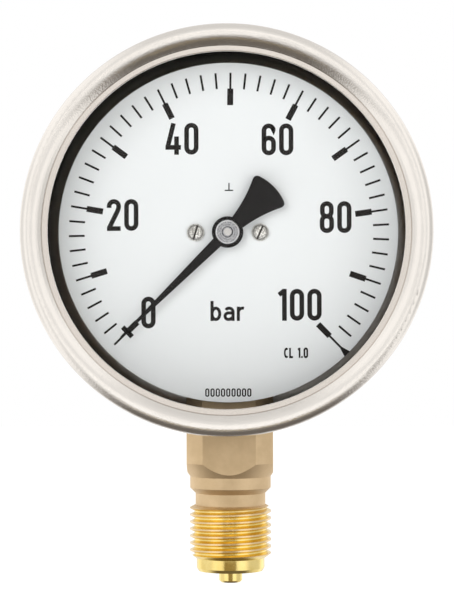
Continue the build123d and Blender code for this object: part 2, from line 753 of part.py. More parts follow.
def make_pointer_blade():
    corner_x, corner_y = POINTER_TAIL_CORNER
    neck_x = POINTER_DISC_R * 0.9
    needle = make_face(Polyline(
        (0, -POINTER_ROOT_HALF),
        (POINTER_TIP_R, -POINTER_TIP_HALF),
        (POINTER_TIP_R, POINTER_TIP_HALF),
        (0, POINTER_ROOT_HALF),
        close=True,
    ))
    middle_x = (neck_x + corner_x) / 2
    middle_y = (POINTER_TAIL_NECK + corner_y) / 2 - POINTER_TAIL_HOLLOW
    tail = make_face(
        ThreePointArc((-neck_x, POINTER_TAIL_NECK), (-middle_x, middle_y), (-corner_x, corner_y))
        + ThreePointArc((-corner_x, corner_y), (-POINTER_TAIL_R, 0), (-corner_x, -corner_y))
        + ThreePointArc((-corner_x, -corner_y), (-middle_x, -middle_y), (-neck_x, -POINTER_TAIL_NECK))
        + Line((-neck_x, -POINTER_TAIL_NECK), (-neck_x, POINTER_TAIL_NECK))
    )
    tips = tail.vertices().filter_by_position(Axis.X, -corner_x - 0.01, -corner_x + 0.01)
    tail = fillet(tips, POINTER_TAIL_CORNER_R)
    outline = needle + tail + Circle(POINTER_DISC_R) - Circle(HUB_BUSH_R)
    return slab(Rot(0, 0, POINTER_ZERO_DEG) * outline, *POINTER_Y, z=CENTRE_Z)


def make_pointer_hub():
    crown_r = 1.15
    return spin_points(
        (POINTER_SHAFT_R, HUB_BUSH_REAR_Y),
        (HUB_BUSH_R, HUB_BUSH_REAR_Y),
        (HUB_BUSH_R, POINTER_Y[0]),
        (HUB_R, POINTER_Y[0]),
        (HUB_R, HUB_FRONT_Y + 0.2),
        (HUB_R - 0.2, HUB_FRONT_Y),
        (crown_r + 0.25, HUB_FRONT_Y),
        (crown_r, SHAFT_FRONT_Y + 0.1),
        (POINTER_SHAFT_R, SHAFT_FRONT_Y + 0.1),
    )


PIECES = {
    "stem": (make_stem, Color(0.80, 0.68, 0.45)),
    "restrictor_screw": (make_restrictor, Color(0.80, 0.66, 0.40)),
    "case": (make_case, Color(0.70, 0.70, 0.68)),
    "bezel_ring": (make_bezel_ring, Color(0.82, 0.80, 0.78)),
    "window": (make_window, Color(0.85, 0.92, 0.95, 0.3)),
    "window_gasket": (make_window_gasket, Color(0.06, 0.06, 0.06)),
    "stem_gasket": (make_stem_gasket, Color(0.06, 0.06, 0.06)),
    "case_screws": (make_case_screws, Color(0.65, 0.65, 0.62)),
    "blowout_plug": (make_blowout_plug, Color(0.08, 0.08, 0.08)),
    "bourdon_tube": (make_tube, Color(0.72, 0.55, 0.32)),
    "tube_end_piece": (make_end_piece, Color(0.80, 0.66, 0.40)),
    "tip_pivot_screw": (make_tip_screw, Color(0.65, 0.65, 0.62)),
    "link": (make_link, Color(0.68, 0.68, 0.66)),
    "movement_back_plate": (make_back_plate, Color(0.82, 0.68, 0.40)),
    "movement_front_plate": (make_front_plate, Color(0.82, 0.68, 0.40)),
    "movement_pillars": (make_pillars, Color(0.82, 0.68, 0.40)),
    "movement_mount_screws": (make_mount_screws, Color(0.65, 0.65, 0.62)),
    "movement_plate_screw": (make_plate_screw, Color(0.65, 0.65, 0.62)),
    "dial_posts": (make_dial_posts, Color(0.82, 0.68, 0.40)),
    "sector_gear": (make_sector, Color(0.78, 0.66, 0.42)),
    "sector_arbor": (make_sector_arbor, Color(0.66, 0.66, 0.64)),
    "tail_pin": (make_tail_pin, Color(0.66, 0.66, 0.64)),
    "pinion_arbor": (make_pinion_arbor, Color(0.66, 0.66, 0.64)),
    "hairspring": (make_hairspring, Color(0.60, 0.48, 0.30)),
    "hairspring_collet": (make_collet, Color(0.82, 0.68, 0.40)),
    "hairspring_stud": (make_spring_stud, Color(0.82, 0.68, 0.40)),
    "dial": (make_dial, Color(0.93, 0.94, 0.94)),
    "dial_screws": (make_dial_screws, Color(0.70, 0.70, 0.67)),
    "pointer_blade": (make_pointer_blade, Color(0.05, 0.05, 0.05)),
    "pointer_hub": (make_pointer_hub, Color(0.76, 0.75, 0.76)),
}

os.makedirs("parts", exist_ok=True)
for name, (maker, colour) in PIECES.items():
    piece = maker()
    piece.label = name
    piece.color = colour
    export_step(piece, os.path.join("parts", name + ".step"))
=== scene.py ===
import math

import bmesh
import bpy
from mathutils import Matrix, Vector


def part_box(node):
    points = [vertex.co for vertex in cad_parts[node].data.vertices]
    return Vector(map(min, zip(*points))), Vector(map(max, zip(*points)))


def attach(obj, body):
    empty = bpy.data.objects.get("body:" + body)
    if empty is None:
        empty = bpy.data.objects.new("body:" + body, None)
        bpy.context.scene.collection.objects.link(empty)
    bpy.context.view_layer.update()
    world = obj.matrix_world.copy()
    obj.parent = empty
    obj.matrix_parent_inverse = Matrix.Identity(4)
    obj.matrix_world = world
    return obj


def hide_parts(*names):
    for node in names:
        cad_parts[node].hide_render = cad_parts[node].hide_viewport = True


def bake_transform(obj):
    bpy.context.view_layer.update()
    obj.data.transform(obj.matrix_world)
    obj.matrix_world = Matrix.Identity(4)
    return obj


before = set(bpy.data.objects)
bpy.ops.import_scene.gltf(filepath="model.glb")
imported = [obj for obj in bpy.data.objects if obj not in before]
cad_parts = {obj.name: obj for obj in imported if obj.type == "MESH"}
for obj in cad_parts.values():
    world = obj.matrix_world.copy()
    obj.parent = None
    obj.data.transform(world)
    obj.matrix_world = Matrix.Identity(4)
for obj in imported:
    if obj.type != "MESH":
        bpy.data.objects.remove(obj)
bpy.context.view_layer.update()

# Looks of a round dial pressure gauge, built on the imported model. Metres, +Z up, the dial faces -Y.

MM = 0.001

dial_low, dial_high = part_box("dial")
CENTRE = Vector((0.5 * (dial_low.x + dial_high.x), 0.0, 0.5 * (dial_low.z + dial_high.z)))
DIAL_FRONT = dial_low.y
screws_low, screws_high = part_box("dial_screws")
SCREW_FACE = screws_low.y
SCREW_OFFSET = screws_high.x - 0.5 * (screws_high.z - screws_low.z)
CAMERA_PLACE = CENTRE + Vector((0.0160, -0.5722, -0.0214))
CAMERA_TURN_DEG = (90.46, 0.15, 1.68)
CAMERA_LENS = 133.0

# colours, linear; a pair is the darker and the lighter patches of one surface
STEEL = (0.86, 0.83, 0.795)
LIP_STEEL = (0.64, 0.60, 0.56)
CASE_STEEL = (0.70, 0.68, 0.65)
SCREW_STEEL = (0.62, 0.61, 0.57)
MOVEMENT_BRASS = (0.80, 0.58, 0.28)
MATT_BRASS = (0.69, 0.525, 0.32), (0.78, 0.605, 0.385)
BRIGHT_BRASS = (0.85, 0.65, 0.22), (0.96, 0.78, 0.32)
WORN_BRASS = (0.78, 0.59, 0.38)
WHITE = (1.0, 1.0, 1.0)


# ---- node graphs ---------------------------------------------------------

class Graph:
    """Short-hand for building one material or world from nodes."""

    def __init__(self, tree):
        self.tree = tree
        tree.nodes.clear()

    def node(self, kind, inputs=None, **settings):
        made = self.tree.nodes.new(kind)
        for key, value in settings.items():
            setattr(made, key, value)
        for key, value in (inputs or {}).items():
            self.feed(made.inputs[key], value)
        return made

    def feed(self, socket, value):
        if isinstance(value, bpy.types.NodeSocket):
            self.tree.links.new(value, socket)
        elif socket.type == "RGBA" and len(value) == 3:
            socket.default_value = (*value, 1.0)
        else:
            socket.default_value = value

    def math(self, operation, first, second=0.0):
        return self.node("ShaderNodeMath", {0: first, 1: second}, operation=operation).outputs[0]

    def add(self, first, second):
        return self.math("ADD", first, second)

    def times(self, first, second):
        return self.math("MULTIPLY", first, second)

    def vector(self, operation, first, second=(0, 0, 0)):
        made = self.node("ShaderNodeVectorMath", {0: first, 1: second}, operation=operation)
        return made.outputs["Value" if operation in ("LENGTH", "DOT_PRODUCT") else "Vector"]

    def scaled(self, vector, factor):
        made = self.node("ShaderNodeVectorMath", {0: vector, "Scale": factor}, operation="SCALE")
        return made.outputs["Vector"]

    def split(self, vector):
        return self.node("ShaderNodeSeparateXYZ", {"Vector": vector}).outputs

    def smooth(self, value, low, high, to_low=0.0, to_high=1.0):
        inputs = dict(enumerate((value, low, high, to_low, to_high)))
        return self.node("ShaderNodeMapRange", inputs, interpolation_type="SMOOTHSTEP").outputs[0]

    def mix(self, factor, first, second):
        return self.node("ShaderNodeMix", {0: factor, 6: first, 7: second}, data_type="RGBA").outputs[2]

    def mix_value(self, factor, first, second):
        return self.node("ShaderNodeMix", {0: factor, 2: first, 3: second}, data_type="FLOAT").outputs[0]

    def noise(self, vector, scale, detail=3.0, roughness=0.5):
        inputs = {"Vector": vector, "Scale": scale, "Detail": detail, "Roughness": roughness}
        return self.node("ShaderNodeTexNoise", inputs).outputs[0]


class Finish(Graph):
    """A material with one Principled shader and a chain of bumps."""

    TURNING_STRETCH = 0.003      # metres of noise for each radian round the axis

    def __init__(self, name, **sockets):
        self.material = bpy.data.materials.new(name)
        self.material.use_nodes = True
        super().__init__(self.material.node_tree)
        self.shader = self.node("ShaderNodeBsdfPrincipled")
        self.output = self.node("ShaderNodeOutputMaterial", {"Surface": self.shader.outputs[0]})
        self.place = self.node("ShaderNodeTexCoord").outputs["Object"]
        self.normal = None
        for key, value in sockets.items():
            self.set(key.replace("_", " ").title(), value)

    def set(self, socket, value):
        self.feed(self.shader.inputs[socket], value)

    def bump(self, height, distance):
        made = self.node("ShaderNodeBump", {"Strength": 1.0, "Distance": distance, "Height": height})
        if self.normal is not None:
            self.feed(made.inputs["Normal"], self.normal)
        self.normal = made.outputs[0]
        self.set("Normal", self.normal)

    def about(self, centre, axis):
        """Radius and height about an axis, and a vector that draws noise out along turning marks."""
        local = self.split(self.vector("SUBTRACT", self.place, tuple(centre)))
        first, second = (local[name] for name in "XYZ" if name != axis)
        radius = self.math("SQRT", self.add(self.times(first, first), self.times(second, second)))
        along = self.times(self.math("ARCTAN2", second, first), self.TURNING_STRETCH)
        turned = self.node("ShaderNodeCombineXYZ", {"X": radius, "Y": local[axis], "Z": along})
        return radius, local[axis], turned.outputs[0]


def darker(colour, fall):
    return tuple(channel * (1 - fall) for channel in colour)


# ---- finishes ------------------------------------------------------------

def turned_metal(name, colour, roughness, axis, lines, depth, spread=0.08, tint=0.06, anisotropic=0.5):
    """Metal turned on a lathe: fine rings about an axis, slight stains and uneven gloss."""
    finish = Finish(name, metallic=1.0, roughness=roughness, anisotropic=anisotropic)
    _, _, turned = finish.about(CENTRE, axis)
    rings = finish.noise(turned, lines, detail=4.0, roughness=0.65)
    stains = finish.noise(finish.place, 90.0, detail=4.0, roughness=0.55)
    uneven = finish.add(rings, stains)
    finish.set("Base Color", finish.mix(finish.times(uneven, 0.5), darker(colour, 2 * tint), colour))
    finish.set("Roughness", finish.add(finish.times(uneven, spread), roughness - spread))
    finish.bump(rings, depth)
    finish.set("Anisotropic Rotation", 0.25)
    finish.set("Tangent", finish.node("ShaderNodeTangent", direction_type="RADIAL", axis=axis).outputs[0])
    return finish


def ring_steel(name):
    """Pressed bezel ring: satin steel with fine specks, duller on the flat inner lip."""
    lip_edge_r = 45.0 * MM
    blend = 0.2 * MM
    finish = turned_metal(name, STEEL, 0.20, "Y", lines=3000.0, depth=0.008 * MM, spread=0.05, tint=0.08,
                          anisotropic=0.6)
    finish.bump(finish.noise(finish.place, 2400.0, detail=2.0, roughness=0.6), 0.045 * MM)
    radius, _, _ = finish.about(CENTRE, "Y")
    steel = finish.shader.inputs["Base Color"].links[0].from_socket
    outside = finish.smooth(radius, lip_edge_r, lip_edge_r + blend)
    finish.set("Base Color", finish.mix(outside, LIP_STEEL, steel))
    return finish


def plain_metal(name, colour, roughness, grain=1800.0, depth=0.004 * MM, tint=0.08):
    """Rolled, drawn or plated metal: soft mottling and a fine grain with no direction."""
    finish = Finish(name, metallic=1.0, roughness=roughness)
    stains = finish.noise(finish.place, 160.0, detail=4.0, roughness=0.6)
    fine = finish.noise(finish.place, grain, roughness=0.6)
    finish.set("Base Color", finish.mix(finish.smooth(stains, 0.35, 0.65), darker(colour, 2 * tint), colour))
    finish.set("Roughness", finish.add(finish.times(fine, 0.12), roughness - 0.06))
    finish.bump(fine, depth)
    return finish


def scuffed_head(name):
    """Screw heads scored by turning and by the driver, with painted shade in the slot and a dull rim painted
    lighter.
    """
    worn_r, rim_r, slot_end_r, edge_r = 1.3 * MM, 1.7 * MM, 1.8 * MM, 2.0 * MM
    slot_start, slot_deep = SCREW_FACE + 0.05 * MM, SCREW_FACE + 0.45 * MM
    finish = plain_metal(name, (0.78, 0.76, 0.71), 0.30, grain=2600.0, depth=0.05 * MM, tint=0.16)
    place = finish.split(finish.place)
    side = finish.math("SUBTRACT", finish.math("ABSOLUTE", place["X"]), SCREW_OFFSET)
    level = finish.math("SUBTRACT", place["Z"], CENTRE.z)
    from_screw = finish.node("ShaderNodeCombineXYZ", {"X": side, "Z": level}).outputs[0]
    radius = finish.vector("LENGTH", from_screw)
    rim = finish.smooth(radius, worn_r, rim_r)
    # painted shade: the deep part of the slot is coloured near black
    deep = finish.smooth(place["Y"], slot_start, slot_deep)
    slot_painted_shade = finish.times(deep, finish.smooth(radius, slot_end_r, edge_r, 1.0, 0.0))
    scores = finish.noise(finish.place, 3000.0, roughness=0.7)
    worn = finish.mix(finish.smooth(scores, 0.42, 0.62), (0.34, 0.33, 0.31), (0.92, 0.91, 0.87))
    # painted light: the scored rim gets a lighter mix that lifts the dark reflection on its chamfer
    rim_scores_painted_light = finish.mix(finish.smooth(scores, 0.40, 0.66), (0.50, 0.49, 0.46), (0.88, 0.87, 0.84))
    finish.set("Base Color", finish.mix(slot_painted_shade, finish.mix(rim, worn, rim_scores_painted_light), (0.07, 0.065, 0.06)))
    finish.set("Roughness", finish.smooth(radius, worn_r, slot_end_r, 0.30, 0.75))
    finish.set("Metallic", finish.smooth(radius, worn_r + 0.1 * MM, slot_end_r, 1.0, 0.4))
    return finish


def faced_hub(name):
    """Aluminium faced on a lathe: coarse rings with painted light and shade bands, painted highlights at
    centre and edge.
    """
    ring_spacing = 0.5712 * MM
    wander_angle = 6.0
    highlight_dot_r, bore_r = 0.20 * MM, 0.45 * MM
    face_r, edge_r = 2.55 * MM, 2.85 * MM
    finish = Finish(name, metallic=1.0, roughness=0.34)
    radius, _, turned = finish.about(CENTRE, "Y")
    wander = finish.times(finish.noise(turned, 3000.0, roughness=0.7), wander_angle)
    phase = finish.add(finish.times(radius, math.tau / ring_spacing), wander)
    rings = finish.add(finish.times(finish.math("SINE", phase), 0.5), 0.5)
    flecks = finish.smooth(finish.noise(finish.place, 2600.0, roughness=0.7), 0.46, 0.62)
    # painted light: the rings are coloured in lighter and darker bands for the light they catch
    face = finish.mix(rings, (0.20, 0.205, 0.215), (0.36, 0.365, 0.38))
    face = finish.mix(finish.times(flecks, 0.5), face, (0.60, 0.60, 0.61))
    # painted highlight: a bright dot at the centre
    face = finish.mix(finish.smooth(radius, highlight_dot_r, bore_r), (0.90, 0.90, 0.88), face)
    # painted highlight: a bright band round the edge
    edge = finish.smooth(radius, face_r, edge_r)
    finish.set("Base Color", finish.mix(edge, face, (0.86, 0.86, 0.88)))
    finish.bump(rings, 0.020 * MM)
    return finish


def rubber(name):
    """Black moulded rubber with a fine grain and a trace of dust."""
    finish = Finish(name)
    finish.set("Specular IOR Level", 0.2)
    fine = finish.noise(finish.place, 2400.0, detail=4.0, roughness=0.7)
    dust = finish.smooth(finish.noise(finish.place, 120.0, detail=5.0, roughness=0.6), 0.4, 0.8)
    finish.set("Base Color", finish.mix(dust, (0.005, 0.005, 0.005), (0.018, 0.017, 0.016)))
    finish.set("Roughness", finish.add(finish.times(fine, 0.2), 0.55))
    finish.bump(fine, 0.01 * MM)
    return finish


def painted(name, colour, roughness, peel=900.0, gloss=0.5):
    """Sprayed or printed paint: a faint orange peel and very slight unevenness."""
    finish = Finish(name)
    finish.set("Specular IOR Level", gloss)
    fine = finish.noise(finish.place, peel)
    wide = finish.noise(finish.place, 40.0)
    finish.set("Base Color", finish.mix(wide, darker(colour, 0.03), colour))
    finish.set("Roughness", finish.add(finish.times(fine, 0.1), roughness - 0.05))
    finish.bump(fine, 0.004 * MM)
    return finish


def stem_brass(name):
    """Stem brass: tumbled and matt above, freshly cut and bright on the thread, polished on the pin."""
    thread_top, matt_from = 15.2 * MM, 17.0 * MM
    groove_r, crest_r = 9.85 * MM, 10.3 * MM
    polished_to, thread_from = 2.4 * MM, 3.4 * MM
    finish = Finish(name, metallic=1.0)
    radius, height, turned = finish.about((0, 0, 0), "Z")
    fine = finish.noise(finish.place, 3200.0, roughness=0.7)
    blotch = finish.smooth(finish.noise(finish.place, 140.0, detail=4.0, roughness=0.6), 0.3, 0.7)
    rings = finish.noise(turned, 2400.0, roughness=0.6)
    cut = finish.smooth(height, thread_top, matt_from, 1.0, 0.0)
    matt = finish.mix(blotch, *MATT_BRASS)
    bright = finish.mix(blotch, *BRIGHT_BRASS)
    worn = finish.times(finish.smooth(radius, groove_r, crest_r), 0.75)
    finish.set("Base Color", finish.mix(cut, matt, finish.mix(worn, bright, WORN_BRASS)))
    matt_gloss = finish.add(finish.times(fine, 0.10), 0.50)
    cut_gloss = finish.add(finish.times(rings, 0.10), 0.15)
    polish = finish.smooth(height, polished_to, thread_from, 0.55, 1.0)
    finish.set("Roughness", finish.mix_value(cut, matt_gloss, finish.times(cut_gloss, polish)))
    finish.bump(fine, 0.010 * MM)
    finish.bump(rings, 0.004 * MM)
    return finish


def clear_glass(name):
    """Clear flat window that lets lamps through."""
    finish = Finish(name, roughness=0.0, base_color=(0.985, 0.985, 0.985), transmission_weight=1.0)
    finish.set("IOR", 1.12)
    clear = finish.node("ShaderNodeBsdfTransparent", {"Color": (0.93, 0.935, 0.935)})
    ray = finish.node("ShaderNodeLightPath").outputs
    passes = finish.math("MAXIMUM", ray["Is Shadow Ray"], ray["Is Diffuse Ray"])
    both = {0: passes, 1: finish.shader.outputs[0], 2: clear.outputs[0]}
    finish.feed(finish.output.inputs["Surface"], finish.node("ShaderNodeMixShader", both).outputs[0])
    return finish


finishes = {
    "bezel_ring": ring_steel("ring_steel"),
    "case": turned_metal("case_steel", CASE_STEEL, 0.32, "Y", lines=1800.0, depth=0.010 * MM),
    "stem": stem_brass("brass"),
    "window": clear_glass("glass"),
    "dial": painted("dial_white", (0.86, 0.88, 0.885), 0.42),
    "pointer_blade": painted("pointer_black", (0.009, 0.008, 0.008), 0.42, peel=1500.0, gloss=0.12),
    "pointer_hub": faced_hub("hub_aluminium"),
    "dial_screws": scuffed_head("dial_screw_steel"),
    "tip_pivot_screw": plain_metal("screw_steel", SCREW_STEEL, 0.34),
    "case_screws": plain_metal("rear_screw_steel", (0.60, 0.59, 0.56), 0.38),
    "window_gasket": rubber("gasket_rubber"),
    "blowout_plug": rubber("plug_rubber"),
    "bourdon_tube": plain_metal("tube_bronze", (0.55, 0.36, 0.17), 0.40),
    "movement_front_plate": plain_metal("movement_brass", MOVEMENT_BRASS, 0.30),
    "link": plain_metal("movement_steel", (0.58, 0.57, 0.55), 0.32),
    "hairspring": plain_metal("spring_bronze", (0.60, 0.42, 0.22), 0.28),
}
SAME_FINISH = {
    "window_gasket": ["stem_gasket"],
    "movement_front_plate": ["restrictor_screw", "tube_end_piece", "movement_back_plate", "movement_pillars",
                             "dial_posts", "sector_gear", "hairspring_collet", "hairspring_stud"],
    "tip_pivot_screw": ["movement_mount_screws", "movement_plate_screw"],
    "link": ["sector_arbor", "tail_pin", "pinion_arbor"],
}
for node, others in SAME_FINISH.items():
    finishes.update(dict.fromkeys(others, finishes[node]))
for node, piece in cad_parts.items():
    piece.data.materials.clear()
    piece.data.materials.append(finishes[node].material)

ink = painted("dial_ink", (0.013, 0.011, 0.010), 0.5, peel=2600.0, gloss=0.12).material


# ---- the tube ------------------------------------------------------------


def place_in_scene(thing):
    bpy.context.scene.collection.objects.link(thing)
    return thing


rigid_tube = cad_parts["bourdon_tube"]
flexing_tube = rigid_tube.copy()
flexing_tube.name = "flexing_tube"
flexing_tube.data = rigid_tube.data.copy()
place_in_scene(flexing_tube)
flexing_tube.parent = None
flexing_tube.matrix_world = rigid_tube.matrix_world
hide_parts("bourdon_tube")
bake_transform(flexing_tube)


# ---- dial printing -------------------------------------------------------

# millimetres from the middle of the print, which stands a little off the dial's own centre
PRINT_X, PRINT_Z = 0.18, -0.08
INK_THICKNESS = 0.03 * MM
MITRE_LIMIT = 0.5            # least cosine at a corner of a stroke, which keeps sharp corners short
SAME_POINT = 1e-6
SCALE_START = 224.2          # the print is turned a little with the dial
SCALE_SWEEP = 270.0
FINE_TICKS = 50
TICKS_PER_BLOCK = 5
TICK_INNER, TICK_OUTER, TICK_WIDTH = 36.2, 40.2, 0.52
BLOCK_INNER, BLOCK_WIDTH = 32.05, 1.5
CROSSBAR_INNER, CROSSBAR_WIDTH = 34.95, 3.4
END_FLARE_OUTER, END_FLARE_WIDTH = 42.5, 1.9


def on_dial(x, z, layer):
    """A point of the print, on the dial's face (layer 0) or on top of the ink (layer 1)."""
    y = DIAL_FRONT - layer * INK_THICKNESS
    return (CENTRE.x + (x + PRINT_X) * MM, y, CENTRE.z + (z + PRINT_Z) * MM)


def add_print(name, vertices, faces):
    """A printed piece from (x, z, layer) vertices, with its normals pointing out."""
    mesh = bpy.data.meshes.new(name)
    mesh.from_pydata([on_dial(*vertex) for vertex in vertices], [], faces)
    mesh.validate()
    bm = bmesh.new()
    bm.from_mesh(mesh)
    bmesh.ops.recalc_face_normals(bm, faces=bm.faces)
    bm.to_mesh(mesh)
    bm.free()
    mesh.materials.append(ink)
    return place_in_scene(bpy.data.objects.new(name, mesh))


def mitred_normals(points, closed):
    """Unit mitred normals at each point of a line."""
    count = len(points)
    normals = []
    for i, point in enumerate(points):
        steps = []
        if closed or i > 0:
            steps.append((Vector(point) - Vector(points[i - 1])).normalized())
        if closed or i < count - 1:
            steps.append((Vector(points[(i + 1) % count]) - Vector(point)).normalized())
        along = sum(steps, Vector((0, 0))).normalized()
        side = Vector((-along.y, along.x))
        first = Vector((-steps[0].y, steps[0].x))
        normals.append(side / max(side.dot(first), MITRE_LIMIT))
    return normals


def ribbon(points, width, closed=False):
    """A flat stroke of even width along a line, as vertices (x, z, layer) and faces."""
    vertices, faces = [], []
    for point, normal in zip(points, mitred_normals(points, closed)):
        for side in (0.5, -0.5):
            edge = Vector(point) + normal * width * side
            vertices += [(edge.x, edge.y, 0), (edge.x, edge.y, 1)]
    count = len(points)
    for i in range(count if closed else count - 1):
        a, b = 4 * i, 4 * ((i + 1) % count)
        faces += [(a, b, b + 2, a + 2), (a + 1, a + 3, b + 3, b + 1)]
        faces += [(a, a + 1, b + 1, b), (a + 2, b + 2, b + 3, a + 3)]
    if not closed:
        last = 4 * (count - 1)
        faces += [(0, 2, 3, 1), (last, last + 1, last + 3, last + 2)]
    return vertices, faces


def arc(x, z, radius_x, radius_z, start, end, steps=14):
    points = []
    for i in range(steps + 1):
        angle = math.radians(start + (end - start) * i / steps)
        points.append((x + radius_x * math.cos(angle), z + radius_z * math.sin(angle)))
    return points


def loop(x, low, high, radius):
    """Closed upright stadium line."""
    return arc(x, high - radius, radius, radius, 180, 0) + arc(x, low + radius, radius, radius, 0, -180)


# Each character is its width and its strokes, and each stroke is a line and whether it is closed.
# Figures are 8 high.
FIGURES = {
    "0": (3.6, [(loop(1.8, 0.6, 7.4, 1.2), True)]),
    "1": (2.15, [([(1.58, 0.0), (1.58, 8.0)], False), ([(0.2, 6.5), (1.55, 7.52)], False)]),
    "2": (3.6, [
        ([(0.6, 5.8)] + arc(1.8, 6.2, 1.2, 1.2, 180, 0) + [(2.97, 5.75), (2.75, 5.1), (0.7, 0.9)], False),
        ([(0.05, 0.59), (3.5, 0.59)], False),
    ]),
    "4": (4.0, [
        ([(2.1, 7.9), (0.62, 1.9)], False),
        ([(0.06, 1.85), (3.95, 1.85)], False),
        ([(2.85, 4.6), (2.85, 0.0)], False),
    ]),
    "6": (3.6, [
        ([(3.0, 6.5)] + arc(1.8, 6.2, 1.2, 1.2, 0, 180) + arc(1.8, 1.8, 1.2, 1.2, 180, 360)
         + arc(1.8, 3.15, 1.2, 1.2, 0, 160), False),
    ]),
    "8": (3.6, [(loop(1.8, 4.2, 7.4, 1.12), True), (loop(1.8, 0.6, 4.25, 1.2), True)]),
}
FIGURE_HEIGHT = 8.0
# Small letters are 3.6 high, with 5.05 to the top of the b.
LETTERS = {
    "b": (2.75, [([(0.42, 0.0), (0.42, 5.05)], False), (arc(1.38, 1.80, 0.97, 1.42, 0, 350, 28), True)]),
    "a": (2.75, [
        ([(2.38, 0.0), (2.38, 2.2)] + arc(1.42, 2.28, 0.96, 0.94, 0, 150), False),
        ([(2.38, 2.02)] + arc(1.25, 1.2, 0.86, 0.82, 90, 270) + [(1.6, 0.42), (2.38, 0.95)], False),
    ]),
    "r": (2.1, [
        ([(0.42, 0.0), (0.42, 3.6)], False),
        ([(0.42, 2.1)] + arc(1.55, 2.2, 1.13, 1.02, 175, 75), False),
    ]),
    "C": (2.6, [(arc(1.4, 2.5, 1.0, 2.1, 50, 310, 24), False)]),
    "L": (2.3, [([(0.4, 5.0), (0.4, 0.38), (2.2, 0.38)], False)]),
    ".": (0.9, [([(0.45, 0.0), (0.45, 0.85)], False)]),
    " ": (1.6, []),
}


def narrowed(table, scale_x, scale_z):
    """The same characters, narrower and lower."""
    made = {}
    for character, (width, strokes) in table.items():
        lines = [([(x * scale_x, z * scale_z) for x, z in line], closed) for line, closed in strokes]
        made[character] = (width * scale_x, lines)
    return made


def print_strokes(name, strokes, width, x, z, scale, squeeze):
    """One printed character: its strokes are joined into a single raised film."""
    pieces = []
    for number, (line, closed) in enumerate(strokes):
        if closed and (Vector(line[0]) - Vector(line[-1])).length < SAME_POINT:
            line = line[:-1]
        vertices, faces = ribbon(line, width, closed)
        placed = [(x + vx * scale * squeeze, z + vz * scale, layer) for vx, vz, layer in vertices]
        pieces.append(add_print(f"{name}_{number}" if number else name, placed, faces))
    whole, *others = pieces
    for other in others:
        union = whole.modifiers.new("union", "BOOLEAN")
        union.operation, union.solver, union.object = "UNION", "EXACT", other
        shown = whole.evaluated_get(bpy.context.evaluated_depsgraph_get())
        joined = bpy.data.meshes.new_from_object(shown)
        whole.modifiers.clear()
        whole.data = joined
        bpy.data.objects.remove(other)
    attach(whole, "housing")


def print_text(name, text, table, centre_x, base_z, stroke, gap, scale=1.0, squeeze=1.0):
    """A row of characters about centre_x, narrowed by squeeze."""
    total = sum(table[character][0] + gap for character in text) - gap
    x = centre_x - total * scale * squeeze / 2
    for number, character in enumerate(text):
        width, strokes = table[character]
        if strokes:
            print_strokes(f"{name}_{number}", strokes, stroke, x, base_z, scale, squeeze)
        x += (width + gap) * scale * squeeze


FIGURE_CENTRES = {
    "0": (-20.2, -19.95),
    "20": (-26.65, 4.57),
    "40": (-11.7, 23.65),
    "60": (12.3, 23.38),
    "80": (26.8, 3.83),
    "100": (17.8, -18.1),
}
for text, (x, z) in FIGURE_CENTRES.items():
    print_text(f"figure_{text}", text, FIGURES, x, z - FIGURE_HEIGHT / 2, stroke=1.17, gap=0.78)
print_text("unit", "bar", LETTERS, -0.3, -22.12, stroke=0.78, gap=0.55)
SMALL = {**LETTERS, **narrowed(FIGURES, 0.72, 0.63)}
print_text("class_mark", "CL 1.0", SMALL, 16.8, -31.4, stroke=1.05, gap=0.6, scale=0.50, squeeze=0.82)
print_text("plain_number", "000000000", SMALL, -0.2, -41.1, stroke=0.85, gap=0.62, scale=0.41)


def radial_bar(inner, outer, width, angle, outer_width=None):
    """Corners of a straight bar along a radius."""
    along = Vector((math.cos(math.radians(angle)), math.sin(math.radians(angle))))
    side = Vector((-along.y, along.x)) / 2
    end_width = outer_width or width
    return [
        along * inner + side * width,
        along * inner - side * width,
        along * outer - side * end_width,
        along * outer + side * end_width,
    ]


def upright_bar(x, low, high, width):
    """Corners of a bar with level ends."""
    left, right = x - width / 2, x + width / 2
    return [(left, low), (right, low), (right, high), (left, high)]


def print_patches(name, corner_lists):
    """Raised ink patches from lists of corners."""
    vertices, faces = [], []
    for corners in corner_lists:
        count, base = len(corners), len(vertices)
        for layer in (0, 1):
            vertices += [(x, z, layer) for x, z in corners]
        faces.append(tuple(base + i for i in range(count)))
        faces.append(tuple(base + count + i for i in reversed(range(count))))
        for i in range(count):
            j = (i + 1) % count
            faces.append((base + i, base + j, base + count + j, base + count + i))
    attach(add_print(name, vertices, faces), "housing")


tick_angles = [SCALE_START - SCALE_SWEEP * tick / FINE_TICKS for tick in range(FINE_TICKS + 1)]
print_patches("scale_fine_ticks", [
    radial_bar(TICK_INNER, TICK_OUTER, TICK_WIDTH, angle) for angle in tick_angles
])
print_patches("scale_blocks", [
    radial_bar(BLOCK_INNER, TICK_INNER, BLOCK_WIDTH, angle) for angle in tick_angles[::TICKS_PER_BLOCK]
])
print_patches("scale_end_marks", [
    radial_bar(CROSSBAR_INNER, TICK_INNER, CROSSBAR_WIDTH, tick_angles[0]),
    radial_bar(TICK_OUTER, END_FLARE_OUTER, TICK_WIDTH, tick_angles[-1], END_FLARE_WIDTH),
])

# upright-mounting symbol: a plain line standing on a base line
UPRIGHT_X, UPRIGHT_BASE, UPRIGHT_TOP, UPRIGHT_LINE = 0.1, 10.5, 12.5, 0.3
print_patches("upright_symbol", [
    upright_bar(UPRIGHT_X, UPRIGHT_BASE, UPRIGHT_BASE + UPRIGHT_LINE, 2.1),
    upright_bar(UPRIGHT_X, UPRIGHT_BASE + UPRIGHT_LINE, UPRIGHT_TOP, UPRIGHT_LINE),
])


# ---- stage ---------------------------------------------------------------

def add_stage_plane(name, corners, finish):
    mesh = bpy.data.meshes.new(name)
    mesh.from_pydata(corners, [], [(0, 1, 2, 3)])
    mesh.materials.append(finish.material)
    plane = place_in_scene(bpy.data.objects.new(name, mesh))
    return plane


